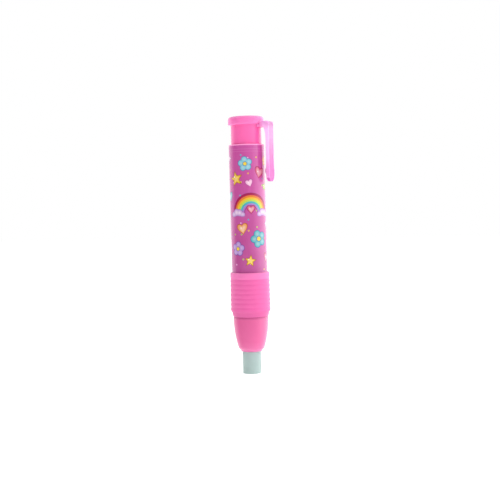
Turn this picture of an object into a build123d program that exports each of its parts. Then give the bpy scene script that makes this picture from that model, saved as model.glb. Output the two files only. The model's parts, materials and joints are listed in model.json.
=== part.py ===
from build123d import *
import os
from math import cos, degrees, pi, sin, sqrt

# Push-button eraser pen, in millimetres, standing on the tip of its eraser.
# The origin is the centre of the flat tip, +Z runs up the axis to the button,
# and the pocket clip lies towards +X.

# Eraser refill
eraser_r = 3.75
eraser_length = 75.0
eraser_out = 8.95  # length that shows below the nose
tip_chamfer = 0.3

# Movements
press_travel = 5.0  # of the button
ring_travel = 2.8  # of the clutch ring, which then meets its stop

# Clearances
jaw_gap = 0.10  # between the eraser and the teeth of the jaws
bore_gap = 0.25  # between the eraser and the tubes around it
mouth_gap = 0.15  # between the eraser and the mouth of the nose
taper_gap = 0.10  # between the jaws' taper and the clutch ring
slide_gap = 0.15  # round a piece that slides
seat_gap = 0.05  # round a piece that is pushed home and stays
crush = 0.03  # how far a crush rib bites into what it grips
overrun = 1.0  # how far a cutter reaches past what it cuts

# Chuck: a slotted collet that closes on the eraser
chuck_length = 32.1
chuck_wall = 0.45
jaw_wall = 0.50  # more at the head of the jaws
jaw_reach = 4.3  # the head below the clutch ring
jaw_front_chamfer = 0.3
taper_start = 0.2  # the taper begins this far below the clutch ring
taper_length = 3.4
tooth_depth = 0.20
tooth_pitch = 0.75
tooth_count = 3
tooth_start = 0.5
slot_width = 0.9
slot_length = 21.0
jaw_count = 3

# Clutch ring
ring_wall = 0.35  # at its thin front edge
ring_length = 3.5
ring_chamfer = 0.15
landing_gap = 0.1  # left under the ring at the end of its travel

# Guide bush, where the clutch ring and the spring seat
bush_ledge = 0.15
bush_length = 4.5
bush_chamfer = 0.3

# Return spring
wire_r = 0.3
wire_sides = 6
spring_length = 14.0  # as fitted
spring_play = 0.1  # at each end, and between the wire and the tube inside it
active_turns = 3
end_turns = 1
end_pitch = 0.9

# Nose cone, with the core that carries the grip and the spigot in the barrel
nose_length = 14.05
nose_r = 7.02
lip_wall = 0.43
lip_height = 0.4
brow_drop = 1.63  # in radius, where the rounded brow meets the long curve
brow_height = 1.95
shoulder_height = 0.5  # straight part under the grip
mouth_length = 2.5
jaw_swing = 0.25  # room for the jaws to open
stop_height = 12.35  # of the clutch ring's stop above the mouth
cavity_room = 0.4  # left before the pressed chuck
core_wall = 1.05
spigot_wall = 0.70
spigot_length = 7.0
spigot_chamfer = 0.3

# Grip
grip_length = 17.7
grip_wall = 1.18  # at the top rib
grip_draft = 0.10  # the ribs grow by this much towards the nose
collar_height = 2.6
collar_drop = 0.04  # the collar is this much thinner than the ribs
collar_chamfer = 0.4
tail_height = 2.0
tail_foot_wall = 0.38
tail_top_wall = 0.80
rib_count = 7
rib_depth = 0.20
rib_flank = 0.45  # height of each of a rib's two slopes

# Barrel and its printed film
barrel_length = 50.8
barrel_wall = 0.78
rim_height = 0.5
rim_step = 0.10  # the rim covers the end of the film
rim_chamfer = 0.15
counterbore_play = 0.3
film_thickness = 0.10
lap_width = 2.4  # the film's ends overlap at the back

# Push tube
tube_wall = 0.75
spring_flange_height = 1.2
socket_wall = 0.75
socket_shoulder = 1.5

# Push button
button_out = 7.8  # cylinder that shows above the barrel
button_wall = 0.9
button_bore_gap = 0.45  # bridged by the crush ribs
button_sink = 13.5  # skirt inside the barrel
skirt_chamfer = 0.3
flange_height = 3.3
flange_lip = 1.08
flange_top_round = 0.9
flange_foot_chamfer = 0.5
tube_seat_drop = 1.3  # the tube ends this far below the flange
core_hole_r = 3.2
top_wall = 1.8
crush_rib_count = 3
crush_rib_width = 0.8
crush_rib_length = 12.0

# Pocket clip
clip_length = 23.75
clip_width = 5.0
clip_thickness = 1.4
clip_reach = 2.25  # from the flange to the inside of the blade
clip_drop = 2.25  # its top lies this far below the button's top
clip_lean = 0.1  # the foot leans in by this much
clip_end_round = 2.2
arm_height = 2.1  # half of it reaches in under the flange
arm_shoulder_round = 0.7
arm_root = 0.65  # how far the arm's foot thickens the blade
arm_root_height = 3.8
foot_start = 1.6  # of the foot's bulge above the clip's end
foot_height = 4.4
foot_bulge = 0.22
bump_start = 2.2  # of the inner bump above the clip's end
bump_height = 4.0
bump_width = 2.0
bump_gap = 1.1  # between the bump and the film
tang_depth = 1.0
tang_width = 4.0
tang_height = 1.2
tang_lift = 0.8  # of the tang above the arm's underside
tang_root = 0.6  # of the tang inside the arm

# Radii, from the eraser outwards
jaw_r = eraser_r + jaw_gap
tooth_root_r = jaw_r + tooth_depth
bore_r = eraser_r + bore_gap
mouth_r = eraser_r + mouth_gap
lip_r = mouth_r + lip_wall
chuck_r = bore_r + chuck_wall
head_r = chuck_r + jaw_wall
ring_r = head_r + taper_gap + ring_wall
ring_bore_r = ring_r + taper_gap
cavity_r = head_r + jaw_swing
bush_bore_r = ring_bore_r + bush_ledge
bush_r = bush_bore_r - seat_gap
core_r = bush_bore_r + core_wall
spigot_r = bush_bore_r + spigot_wall
spring_r = chuck_r + spring_play + wire_r
tube_r = bore_r + tube_wall
socket_r = chuck_r + socket_wall
spring_flange_r = bush_bore_r - slide_gap
button_bore_r = tube_r + button_bore_gap
button_r = button_bore_r + button_wall
flange_r = button_r + flange_lip
barrel_bore_r = button_r + slide_gap
barrel_r = barrel_bore_r + barrel_wall
film_r = barrel_r + film_thickness
rim_r = barrel_r + rim_step
counterbore_r = spigot_r + seat_gap
crest_top_r = core_r + grip_wall
collar_r = crest_top_r - collar_drop
clip_inner_r = flange_r + clip_reach
clip_outer_r = clip_inner_r + clip_thickness

# Heights, from the mouth of the nose upwards
mouth_z = eraser_out
grip_z = mouth_z + nose_length
barrel_z = grip_z + grip_length
barrel_top_z = barrel_z + barrel_length
film_top_z = barrel_top_z - rim_height
flange_z = barrel_top_z + button_out
top_z = flange_z + flange_height
stop_z = mouth_z + stop_height
ring_z = stop_z + landing_gap + ring_travel
bush_z = ring_z + ring_length
spring_z = bush_z + bush_length
spring_top_z = spring_z + spring_length
chuck_z = ring_z - jaw_reach
chuck_top_z = chuck_z + chuck_length
taper_z = ring_z - taper_start
taper_top_z = taper_z + taper_length
cavity_z = chuck_z - press_travel - cavity_room
spigot_top_z = barrel_z + spigot_length
tube_top_z = flange_z - tube_seat_drop
skirt_z = barrel_top_z - button_sink
clip_top_z = top_z - clip_drop
clip_foot_z = clip_top_z - clip_length
arm_z = clip_top_z - arm_height

standing = (Align.CENTER, Align.CENTER, Align.MIN)
outwards = (Align.MIN, Align.CENTER, Align.MIN)


def outline(*corners):
    """Closed outline through (radius, height) corners, each with a rounding if it has one."""
    points = [corner[:2] for corner in corners]
    rounds = [corner[2] if len(corner) > 2 else 0 for corner in corners]
    return FilletPolyline(*points, radius=rounds, close=True)


def upright(*edges):
    """Face inside a closed outline, stood up in the plane of the axis and the clip."""
    return Plane.XZ * make_face(Curve() + list(edges))


def turned(*edges):
    """Solid turned about the axis from a closed outline."""
    return revolve(upright(*edges), Axis.Z)


def eraser_stick():
    """Round stick of eraser with its edge taken off at the tip."""
    return turned(
        outline(
            (0, 0),
            (eraser_r - tip_chamfer, 0),
            (eraser_r, tip_chamfer),
            (eraser_r, eraser_length),
            (0, eraser_length),
        )
    )


def nose_cone():
    """Nose shell: lip, brow, long curve, grip core and spigot, with the clutch's bore."""
    brow = (nose_r - brow_drop, mouth_z + brow_height)
    lip_top = (lip_r, mouth_z + lip_height)
    curve_top = (nose_r, grip_z - shoulder_height)
    long_curve = TangentArc(curve_top, brow, tangent=(0, -1))
    brow_curve = TangentArc(brow, lip_top, tangent=long_curve % 1)
    rest = Polyline(
        lip_top,
        (lip_r, mouth_z),
        (mouth_r, mouth_z),
        (mouth_r, mouth_z + mouth_length),
        (cavity_r, cavity_z),
        (cavity_r, stop_z),
        (ring_bore_r, stop_z),
        (ring_bore_r, bush_z),
        (bush_bore_r, bush_z),
        (bush_bore_r, spigot_top_z),
        (spigot_r - spigot_chamfer, spigot_top_z),
        (spigot_r, spigot_top_z - spigot_chamfer),
        (spigot_r, barrel_z),
        (core_r, barrel_z),
        (core_r, grip_z),
        (nose_r, grip_z),
        curve_top,
    )
    return turned(long_curve, brow_curve, rest)


def rubber_grip():
    """Soft sleeve with a smooth collar, sloped ribs and a tail that runs into the nose."""
    tail_top_z = grip_z + tail_height
    collar_z = barrel_z - collar_height
    pitch = (collar_z - tail_top_z) / rib_count
    ribs = []
    for i in range(rib_count):
        rib_z = tail_top_z + pitch * i
        crest_r = crest_top_r + grip_draft * (1 - i / rib_count)
        ribs += [
            (crest_r - rib_depth, rib_z),
            (crest_r, rib_z + rib_flank),
            (crest_r, rib_z + pitch - rib_flank),
        ]
    return turned(
        outline(
            (core_r, grip_z),
            (core_r + tail_foot_wall, grip_z),
            (core_r + tail_top_wall, tail_top_z),
            *ribs,
            (crest_top_r - rib_depth, collar_z),
            (collar_r, collar_z + rib_flank),
            (collar_r, barrel_z - collar_chamfer),
            (collar_r - collar_chamfer, barrel_z),
            (core_r, barrel_z),
        )
    )


def barrel():
    """Long tube with a small rim above its film and a seat for the nose's spigot."""
    counterbore_z = spigot_top_z + counterbore_play
    return turned(
        outline(
            (counterbore_r, barrel_z),
            (barrel_r, barrel_z),
            (barrel_r, film_top_z),
            (rim_r, film_top_z),
            (rim_r, barrel_top_z - rim_chamfer),
            (rim_r - rim_chamfer, barrel_top_z),
            (barrel_bore_r + rim_chamfer, barrel_top_z),
            (barrel_bore_r, barrel_top_z - rim_chamfer),
            (barrel_bore_r, counterbore_z),
            (counterbore_r, counterbore_z),
        )
    )


def film_layer(inner_r, angle):
    """One layer of film from the barrel's foot to its rim, wrapped through an angle."""
    section = outline(
        (inner_r, barrel_z),
        (inner_r + film_thickness, barrel_z),
        (inner_r + film_thickness, film_top_z),
        (inner_r, film_top_z),
    )
    return revolve(upright(section), Axis.Z, revolution_arc=angle)


def printed_film():
    """Wrap round the barrel whose ends overlap in a seam opposite the clip."""
    lap_angle = degrees(lap_width / film_r)
    lap = Rot(0, 0, 180 - lap_angle / 2) * film_layer(film_r, lap_angle)
    return film_layer(barrel_r, 360) + lap


def chuck():
    """Collet: a tube whose slotted, toothed head closes when its ring rides up the taper."""
    teeth = []
    for i in range(tooth_count):
        tooth_z = chuck_z + tooth_start + tooth_pitch * i
        teeth += [(jaw_r, tooth_z), (tooth_root_r, tooth_z + tooth_depth)]
    teeth_top_z = chuck_z + tooth_start + tooth_pitch * tooth_count
    body = turned(
        outline(
            (jaw_r, chuck_z),
            (head_r - jaw_front_chamfer, chuck_z),
            (head_r, chuck_z + jaw_front_chamfer),
            (head_r, taper_z),
            (chuck_r, taper_top_z),
            (chuck_r, chuck_top_z),
            (bore_r, chuck_top_z),
            (bore_r, teeth_top_z + tooth_pitch),
            (jaw_r, teeth_top_z),
            *reversed(teeth),
        )
    )
    slot = Box(
        head_r + overrun,
        slot_width,
        slot_length + overrun,
        align=(Align.MIN, Align.CENTER, Align.MAX),
    )
    slot_end = Rot(0, 90, 0) * Cylinder(
        slot_width / 2, head_r + overrun, align=standing
    )
    cutter = Pos(0, 0, chuck_z + slot_length) * (slot + slot_end)
    for i in range(jaw_count):
        body -= Rot(0, 0, 360 / jaw_count * (i + 0.5)) * cutter
    return body


def clutch_ring():
    """Ring that wedges the jaws shut and frees them when it meets its stop."""
    foot_r = head_r - jaw_wall * taper_start / taper_length + taper_gap
    bore = chuck_r + taper_gap
    return turned(
        outline(
            (foot_r, ring_z),
            (ring_r - ring_chamfer, ring_z),
            (ring_r, ring_z + ring_chamfer),
            (ring_r, bush_z - ring_chamfer),
            (ring_r - ring_chamfer, bush_z),
            (bore, bush_z),
            (bore, taper_top_z),
        )
    )


def guide_bush():
    """Sleeve seated in the nose: it guides the chuck, and the spring stands on it."""
    return turned(
        outline(
            (chuck_r + slide_gap, bush_z),
            (bush_r, bush_z),
            (bush_r, spring_z - bush_chamfer),
            (bush_r - bush_chamfer, spring_z),
            (chuck_r + slide_gap, spring_z),
        )
    )


def coil_height(turn):
    """Height of the wire after some turns: close at both ends, open between."""
    rise = spring_length - 2 * (wire_r + spring_play)
    active_pitch = (rise - 2 * end_turns * end_pitch) / active_turns
    opened = min(max(turn - end_turns, 0), active_turns)
    return active_pitch * opened + end_pitch * (turn - opened)


def biarc(start, start_way, end, end_way):
    """Two arcs that leave start and reach end along the given directions."""
    chord = end - start
    a = 2 * (start_way.dot(end_way) - 1)
    b = -2 * chord.dot(start_way + end_way)
    reach = (-b - sqrt(b * b - 4 * a * chord.dot(chord))) / (2 * a)
    middle = (start + start_way * reach + end - end_way * reach) / 2
    first = TangentArc(start, middle, tangent=start_way)
    return [first, TangentArc(middle, end, tangent=first % 1)]


def return_spring():
    """Compression spring with a close turn at each end, on arcs of a quarter turn."""
    steps = 2 * (active_turns + 2 * end_turns)
    foot_z = spring_z + spring_play + wire_r
    points, ways = [], []
    for i in range(steps + 1):
        before, after = max(i - 1, 0), min(i + 1, steps)
        climb = (coil_height(after / 2) - coil_height(before / 2)) / (after - before)
        x, y = spring_r * cos(pi * i), spring_r * sin(pi * i)
        points.append(Vector(x, y, foot_z + coil_height(i / 2)))
        ways.append(Vector(-y, x, climb / pi).normalized())
    path = []
    for i in range(steps):
        path += biarc(points[i], ways[i], points[i + 1], ways[i + 1])
    section = Plane(points[0], z_dir=ways[0]) * RegularPolygon(wire_r, wire_sides)
    return sweep(section, path=Wire(path))


def push_tube():
    """Tube that carries the button's push to the chuck, with a flange for the spring."""
    flange_top_z = spring_top_z + spring_flange_height
    return turned(
        outline(
            (chuck_r + seat_gap, spring_top_z),
            (spring_flange_r, spring_top_z),
            (spring_flange_r, flange_top_z),
            (socket_r, flange_top_z),
            (socket_r, chuck_top_z),
            (tube_r, chuck_top_z + socket_shoulder),
            (tube_r, tube_top_z),
            (bore_r, tube_top_z),
            (bore_r, chuck_top_z),
            (chuck_r + seat_gap, chuck_top_z),
        )
    )


def tang(play):
    """Block that holds the clip in the flange, larger all round by some play."""
    block = Box(
        tang_depth + tang_root + play,
        tang_width + 2 * play,
        tang_height + 2 * play,
        align=outwards,
    )
    return Pos(flange_r - tang_depth - play, 0, arm_z + tang_lift - play) * block


def push_button():
    """Thimble with a rounded flange, crush ribs for the tube and a notch for the clip."""
    shell = turned(
        outline(
            (button_bore_r, skirt_z),
            (button_r - skirt_chamfer, skirt_z),
            (button_r, skirt_z + skirt_chamfer),
            (button_r, flange_z),
            (flange_r - flange_foot_chamfer, flange_z),
            (flange_r, flange_z + flange_foot_chamfer),
            (flange_r, top_z, flange_top_round),
            (0, top_z),
            (0, top_z - top_wall),
            (core_hole_r, top_z - top_wall),
            (core_hole_r, tube_top_z),
            (button_bore_r, tube_top_z),
        )
    )
    rib = Pos(tube_r - crush, 0, tube_top_z - crush_rib_length) * Box(
        button_bore_gap + crush + button_wall / 2,
        crush_rib_width,
        crush_rib_length,
        align=outwards,
    )
    for i in range(crush_rib_count):
        shell += Rot(0, 0, 360 / crush_rib_count * i) * rib
    return shell - tang(seat_gap)


def clip_blade():
    """Arm and blade of the clip, cut to lie against the flange and under it."""
    root = (clip_inner_r - arm_root, arm_z)
    blade_top = (clip_inner_r, arm_z - arm_root_height)
    shoulder = (clip_outer_r, clip_top_z - arm_shoulder_round)
    shoulder_end = (clip_outer_r - arm_shoulder_round, clip_top_z)
    foot_low = (clip_outer_r - clip_lean, clip_foot_z + foot_start)
    foot_high = (clip_outer_r - clip_lean, clip_foot_z + foot_start + foot_height)
    foot_out = (
        clip_outer_r - clip_lean + foot_bulge,
        clip_foot_z + foot_start + foot_height / 2,
    )
    side = upright(
        TangentArc(blade_top, root, tangent=(0, 1)),
        Polyline(root, (0, arm_z), (0, clip_top_z), shoulder_end),
        TangentArc(shoulder_end, shoulder, tangent=(1, 0)),
        Line(shoulder, foot_high),
        ThreePointArc(foot_high, foot_out, foot_low),
        Polyline(
            foot_low,
            (clip_outer_r - 2 * clip_lean, clip_foot_z),
            (clip_inner_r - clip_lean, clip_foot_z),
            blade_top,
        ),
    )
    front = Pos(0, clip_foot_z + clip_length) * RectangleRounded(
        clip_width, 2 * clip_length, clip_end_round
    )
    blade = extrude(side, clip_width / 2, both=True)
    blade &= extrude(Plane.YZ * front, clip_outer_r + overrun)
    skirt_room = Cylinder(
        button_r + seat_gap, arm_height + 2 * overrun, align=standing
    )
    flange_room = Cylinder(
        flange_r + seat_gap, flange_height + seat_gap, align=standing
    )
    blade -= Pos(0, 0, arm_z - overrun) * skirt_room
    return blade - Pos(0, 0, flange_z - seat_gap) * flange_room


def pocket_clip():
    """Clip that hangs from the flange, with a bump inside its foot that holds cloth."""
    inner_r = clip_inner_r - clip_lean / 2
    low = (inner_r, clip_foot_z + bump_start)
    high = (inner_r, clip_foot_z + bump_start + bump_height)
    tip = (
        film_r + bump_gap,
        clip_foot_z + bump_start + bump_height / 2,
    )
    bump = extrude(
        upright(ThreePointArc(low, tip, high), Line(high, low)),
        bump_width / 2,
        both=True,
    )
    return clip_blade() + bump + tang(0)


os.makedirs("parts", exist_ok=True)
pieces = {
    "eraser_stick": eraser_stick(),
    "nose_cone": nose_cone(),
    "rubber_grip": rubber_grip(),
    "barrel": barrel(),
    "printed_film": printed_film(),
    "chuck": chuck(),
    "clutch_ring": clutch_ring(),
    "guide_bush": guide_bush(),
    "return_spring": return_spring(),
    "push_tube": push_tube(),
    "push_button": push_button(),
    "pocket_clip": pocket_clip(),
}
for name, piece in pieces.items():
    export_step(piece, f"parts/{name}.step")
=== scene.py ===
import json
import math

import bmesh
import bpy
from mathutils import Matrix, Vector


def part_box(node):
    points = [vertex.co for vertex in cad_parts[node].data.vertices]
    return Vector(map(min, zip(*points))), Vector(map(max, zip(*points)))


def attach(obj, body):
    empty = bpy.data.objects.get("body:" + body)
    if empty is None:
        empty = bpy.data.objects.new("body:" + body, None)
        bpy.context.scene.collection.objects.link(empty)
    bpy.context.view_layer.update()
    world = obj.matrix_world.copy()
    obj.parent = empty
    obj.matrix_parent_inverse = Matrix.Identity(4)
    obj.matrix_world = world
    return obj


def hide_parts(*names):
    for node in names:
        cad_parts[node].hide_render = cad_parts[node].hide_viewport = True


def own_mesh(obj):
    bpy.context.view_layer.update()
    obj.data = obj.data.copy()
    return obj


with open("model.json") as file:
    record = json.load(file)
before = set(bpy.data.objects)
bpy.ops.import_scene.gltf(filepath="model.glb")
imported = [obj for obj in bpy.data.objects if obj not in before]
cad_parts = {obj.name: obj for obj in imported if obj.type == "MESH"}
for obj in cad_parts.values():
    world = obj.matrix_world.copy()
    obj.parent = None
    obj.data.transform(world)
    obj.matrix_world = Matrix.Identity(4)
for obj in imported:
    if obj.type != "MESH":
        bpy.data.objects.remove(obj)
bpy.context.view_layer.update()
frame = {"nodes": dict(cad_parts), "record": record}

# A push-button eraser pen in pink plastic. It stands on its eraser, the clip is towards +X.
# Sizes below are in millimetres and are turned to metres where a mesh is made.

mm = 0.001
roundSteps = 128  # faces round the pen
turn = 2 * math.pi
weldGap = 0.001  # corners closer than this are one
noiseCore = (0.3, 0.7)  # nearly all of a noise lies between these
noiseReach = (0.2, 0.8)


# Small tools

def linear(hexColour):
    # sRGB hex to the linear colour that Blender's sockets take
    channels = [int(hexColour[i:i + 2], 16) / 255 for i in (0, 2, 4)]
    return (*[c / 12.92 if c <= 0.04045 else ((c + 0.055) / 1.055) ** 2.4 for c in channels], 1.0)


def addNode(tree, kind, inputs=(), **settings):
    # One node: inputs are values, sockets or nodes, by order or by name, settings are its own fields
    node = tree.nodes.new("ShaderNode" + kind)
    for name, value in settings.items():
        setattr(node, name, value)
    for key, value in inputs.items() if isinstance(inputs, dict) else enumerate(inputs):
        if isinstance(value, bpy.types.Node):
            value = next(socket for socket in value.outputs if socket.enabled)
        if isinstance(value, bpy.types.NodeSocket):
            tree.links.new(value, node.inputs[key])
        else:
            node.inputs[key].default_value = value
    return node


def fillRamp(ramp, stops, interpolation="LINEAR"):
    # Gives a colour ramp its stops, each a place from 0 to 1 and a colour
    bar = ramp.color_ramp
    bar.interpolation = interpolation
    while len(bar.elements) < len(stops):
        bar.elements.new(1.0)
    for stop, (place, colour) in zip(bar.elements, stops):
        stop.position, stop.color = place, colour
    return ramp


def heights(node):
    # Foot, top and largest radius of a turned CAD node, in mm
    low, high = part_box(node)
    return low.z / mm, high.z / mm, high.y / mm


def roundCorner(bm, vert, size, segments):
    bmesh.ops.bevel(bm, geom=[vert], offset=size * mm, offset_type="OFFSET", segments=segments,
                    profile=0.5, affect="VERTICES", material=-1)


def section(bm, corners, start=None, end=None):
    # Lays out corners (r, z, rounding, segments) in the XZ plane, from a start vertex to an end
    # one where they are given, and else as a closed outline or, from the axis, an open one
    verts = [bm.verts.new((c[0] * mm, 0, c[1] * mm)) for c in corners]
    chain = [start] * (start is not None) + verts + [end] * (end is not None)
    onAxis = corners[0][0] == 0 and corners[-1][0] == 0
    if start is None and not onAxis:
        chain.append(verts[0])
    for a, b in zip(chain, chain[1:]):
        bm.edges.new((a, b))
    for vert, corner in zip(verts, corners):
        if len(corner) > 2:
            roundCorner(bm, vert, *corner[2:])


def spinRound(bm):
    # Spins an outline once round Z into a closed skin
    bmesh.ops.spin(bm, geom=bm.verts[:] + bm.edges[:], cent=(0, 0, 0), axis=(0, 0, 1),
                   angle=turn, steps=roundSteps, use_merge=True)
    bmesh.ops.remove_doubles(bm, verts=bm.verts, dist=weldGap * mm)
    bmesh.ops.recalc_face_normals(bm, faces=bm.faces)
    return bm


def lathe(corners):
    bm = bmesh.new()
    section(bm, corners)
    return spinRound(bm)


def meshObject(name, bm):
    mesh = bpy.data.meshes.new(name)
    bm.to_mesh(mesh)
    bm.free()
    piece = bpy.data.objects.new(name, mesh)
    bpy.context.scene.collection.objects.link(piece)
    return piece


def finishPiece(piece, material, node, sharpAngle=40):
    # Shades a piece, dresses it and lets it stand for its CAD node
    piece.data.materials.clear()
    piece.data.materials.append(material)
    piece.data.shade_smooth()
    piece.data.set_sharp_from_angle(angle=math.radians(sharpAngle))
    weighted = piece.modifiers.new("evenNormals", "WEIGHTED_NORMAL")
    weighted.keep_sharp = True
    body = next(b for b, nodes in frame["record"]["behaviour"]["bodies"].items() if node in nodes)
    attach(piece, body)
    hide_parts(node)
    return piece


def applied(piece):
    # Turns a piece's modifiers into plain mesh
    bpy.context.view_layer.update()
    done = bpy.data.meshes.new_from_object(piece.evaluated_get(bpy.context.evaluated_depsgraph_get()))
    piece.modifiers.clear()
    piece.data = done


def combine(piece, tool, operation):
    # Adds or cuts another closed shape, which is then gone
    boolean = piece.modifiers.new("combine", "BOOLEAN")
    boolean.operation = operation
    boolean.solver = "EXACT"
    boolean.object = tool
    applied(piece)
    bpy.data.objects.remove(tool)


# Camera

cameraView = {
    "turn": 24.6,  # degrees from the clip's side view round to the lens
    "rise": 2.5,  # degrees above the horizon
    "distance": 373,
    "aimHeight": 49.5,
    "aimRight": 0.33,
    "lean": 1.53,  # degrees that the pen leans to the left in the picture
    "across": 200.6,  # width of the picture at the pen
    "sensor": 36,
}


def placeCamera(view):
    a, e = math.radians(view["turn"]), math.radians(view["rise"])
    back = Vector((math.sin(a) * math.cos(e), -math.cos(a) * math.cos(e), math.sin(e)))
    right = Vector((math.cos(a), math.sin(a), 0))
    camera = bpy.data.cameras.new("camera")
    camera.sensor_width = view["sensor"]
    camera.lens = view["sensor"] * view["distance"] / view["across"]
    camera.clip_start, camera.clip_end = 10 * mm, 20
    holder = bpy.data.objects.new("camera", camera)
    bpy.context.scene.collection.objects.link(holder)
    aim = Vector((0, 0, view["aimHeight"])) + right * view["aimRight"]
    holder.location = (aim + back * view["distance"]) * mm
    holder.rotation_mode = "QUATERNION"
    lean = Matrix.Rotation(-math.radians(view["lean"]), 3, "Z").to_quaternion()
    holder.rotation_quaternion = (-back).to_track_quat("-Z", "Y") @ lean
    bpy.context.scene.camera = holder


def fromLens(degrees, rise=0):
    # A direction by its degrees to the right of the lens, seen from above
    a, e = math.radians(cameraView["turn"] + degrees), math.radians(rise)
    return Vector((math.sin(a) * math.cos(e), -math.cos(a) * math.cos(e), math.sin(e)))


placeCamera(cameraView)
bpy.context.scene.view_settings.view_transform = "Standard"
print("camera placed")


# Stage: pale floor, white surround and one soft light from the right

stage = {
    "floorSize": 3000,
    "floorColour": "F4F4F4",
    "floorGlow": 0.3,
    "fill": 1.16,  # what matt surfaces see
    "fillSide": 0.9,  # more of it on one side and less on the other
    "fillFrom": 152,  # degrees to the right of the lens
    "fillUp": 0.08,
    "shine": 2.4,  # the brightest that glossy surfaces see
    "shineAround": (  # share of it by degrees to the right of the lens, which stands in a dark room
        (-180, 0.6), (-125, 0.6), (-110, 0.5), (-102, 0.3), (-93, 0.06), (-75, 0.0), (0, 0.10),
        (32, 0.2), (52, 0.5), (72, 0.8), (96, 1.0), (130, 1.0), (180, 0.6)),
    "shineAbove": 0.5,
    "shineBelow": 0.6,
    "shineTurns": (0.25, 0.75),  # how far up or down it changes to those, as the sine of the angle
    "keyTurn": 35,  # degrees to the right of the lens
    "keyRise": 18,
    "keyDistance": 600,
    "keySize": (600, 800),
    "keyPower": 1.0,
}


def addFloor(s):
    bm = bmesh.new()
    bmesh.ops.create_grid(bm, x_segments=1, y_segments=1, size=s["floorSize"] / 2 * mm)
    floor = meshObject("floor", bm)
    material = bpy.data.materials.new("paintedFloor")
    material.use_nodes = True
    tree = material.node_tree
    tree.nodes.clear()
    paint = addNode(tree, "BsdfDiffuse", {"Color": linear(s["floorColour"])})
    glow = addNode(tree, "Emission", {"Strength": s["floorGlow"]})
    lit = addNode(tree, "AddShader", [paint, glow])
    side = addNode(tree, "NewGeometry")  # clear from below, so that the foot of the pen can be seen
    clear = addNode(tree, "BsdfTransparent")
    seen = addNode(tree, "MixShader", [side.outputs["Backfacing"], lit, clear])
    addNode(tree, "OutputMaterial", {"Surface": seen})
    floor.data.materials.append(material)
    floor.visible_glossy = False


def addSurround(s):
    world = bpy.data.worlds.new("studio")
    bpy.context.scene.world = world
    world.use_nodes = True
    world.cycles.sampling_method = "NONE"
    tree = world.node_tree
    tree.nodes.clear()
    way = addNode(tree, "TexCoord").outputs["Generated"]
    upward = addNode(tree, "SeparateXYZ", [way]).outputs["Z"]

    # Matt surfaces see a smooth change from one side to the other
    towards = addNode(tree, "VectorMath", [way, fromLens(s["fillFrom"])], operation="DOT_PRODUCT")
    sideFill = addNode(tree, "Math", [towards, s["fillSide"], s["fill"]], operation="MULTIPLY_ADD")
    fill = addNode(tree, "Math", [upward, s["fillUp"], sideFill], operation="MULTIPLY_ADD")

    # Glossy surfaces see the dark room round the lens and the white sweep behind the pen
    ahead = addNode(tree, "VectorMath", [way, fromLens(0)], operation="DOT_PRODUCT")
    aside = addNode(tree, "VectorMath", [way, fromLens(90)], operation="DOT_PRODUCT")
    around = addNode(tree, "Math", [aside, ahead], operation="ARCTAN2")
    share = addNode(tree, "MapRange", [around, -math.pi, math.pi])
    level = fillRamp(addNode(tree, "ValToRGB", [share]), [
        ((degrees + 180) / 360, (tone * s["shine"],) * 3 + (1,)) for degrees, tone in s["shineAround"]])
    above = addNode(tree, "MapRange", [upward, *s["shineTurns"]])
    below = addNode(tree, "MapRange", [upward, *[-sine for sine in s["shineTurns"]]])
    roofed = addNode(tree, "Mix", {0: above, 2: level, 3: s["shineAbove"] * s["shine"]})
    glossy = addNode(tree, "Mix", {0: below, 2: roofed, 3: s["shineBelow"] * s["shine"]})

    path = addNode(tree, "LightPath")
    lightTone = addNode(tree, "Mix", {0: path.outputs["Is Glossy Ray"], 2: fill, 3: glossy})
    seenTone = addNode(tree, "Mix", {0: path.outputs["Is Camera Ray"], 2: lightTone, 3: 1.0})
    sky = addNode(tree, "Background", {"Color": linear("FFFFFF"), "Strength": seenTone})
    addNode(tree, "OutputWorld", {"Surface": sky})


def addKey(s):
    lamp = bpy.data.lights.new("softKey", "AREA")
    lamp.shape = "RECTANGLE"
    lamp.size, lamp.size_y = [side * mm for side in s["keySize"]]
    lamp.energy = s["keyPower"]
    key = bpy.data.objects.new("softKey", lamp)
    bpy.context.scene.collection.objects.link(key)
    way = fromLens(s["keyTurn"], s["keyRise"])
    key.location = Vector((0, 0, cameraView["aimHeight"] * mm)) + way * s["keyDistance"] * mm
    key.rotation_mode = "QUATERNION"
    key.rotation_quaternion = (-way).to_track_quat("-Z", "Y")
    key.visible_glossy = False


addFloor(stage)
addSurround(stage)
addKey(stage)
print("stage set")


# Materials

def newMaterial(name):
    material = bpy.data.materials.new(name)
    material.use_nodes = True
    material.node_tree.nodes.clear()
    return material, material.node_tree


def objectNoise(tree, size, stretch=(1, 1, 1), detail=2.0):
    # Noise on Object coordinates with grains of a size in mm, stretched where it runs one way
    place = addNode(tree, "TexCoord").outputs["Object"]
    grains = addNode(tree, "Mapping", {"Vector": place, "Scale": stretch})
    return addNode(tree, "TexNoise", {"Vector": grains, "Scale": 1 / (size * mm), "Detail": detail})


def heightTone(tree, tones):
    # Colour by height on the piece, from (mm, hex) stops
    low, high = tones[0][0], tones[-1][0]
    place = addNode(tree, "TexCoord").outputs["Object"]
    up = addNode(tree, "SeparateXYZ", [place]).outputs["Z"]
    share = addNode(tree, "MapRange", [up, low * mm, high * mm])
    return fillRamp(addNode(tree, "ValToRGB", [share]),
                    [((height - low) / (high - low), linear(colour)) for height, colour in tones])


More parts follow.
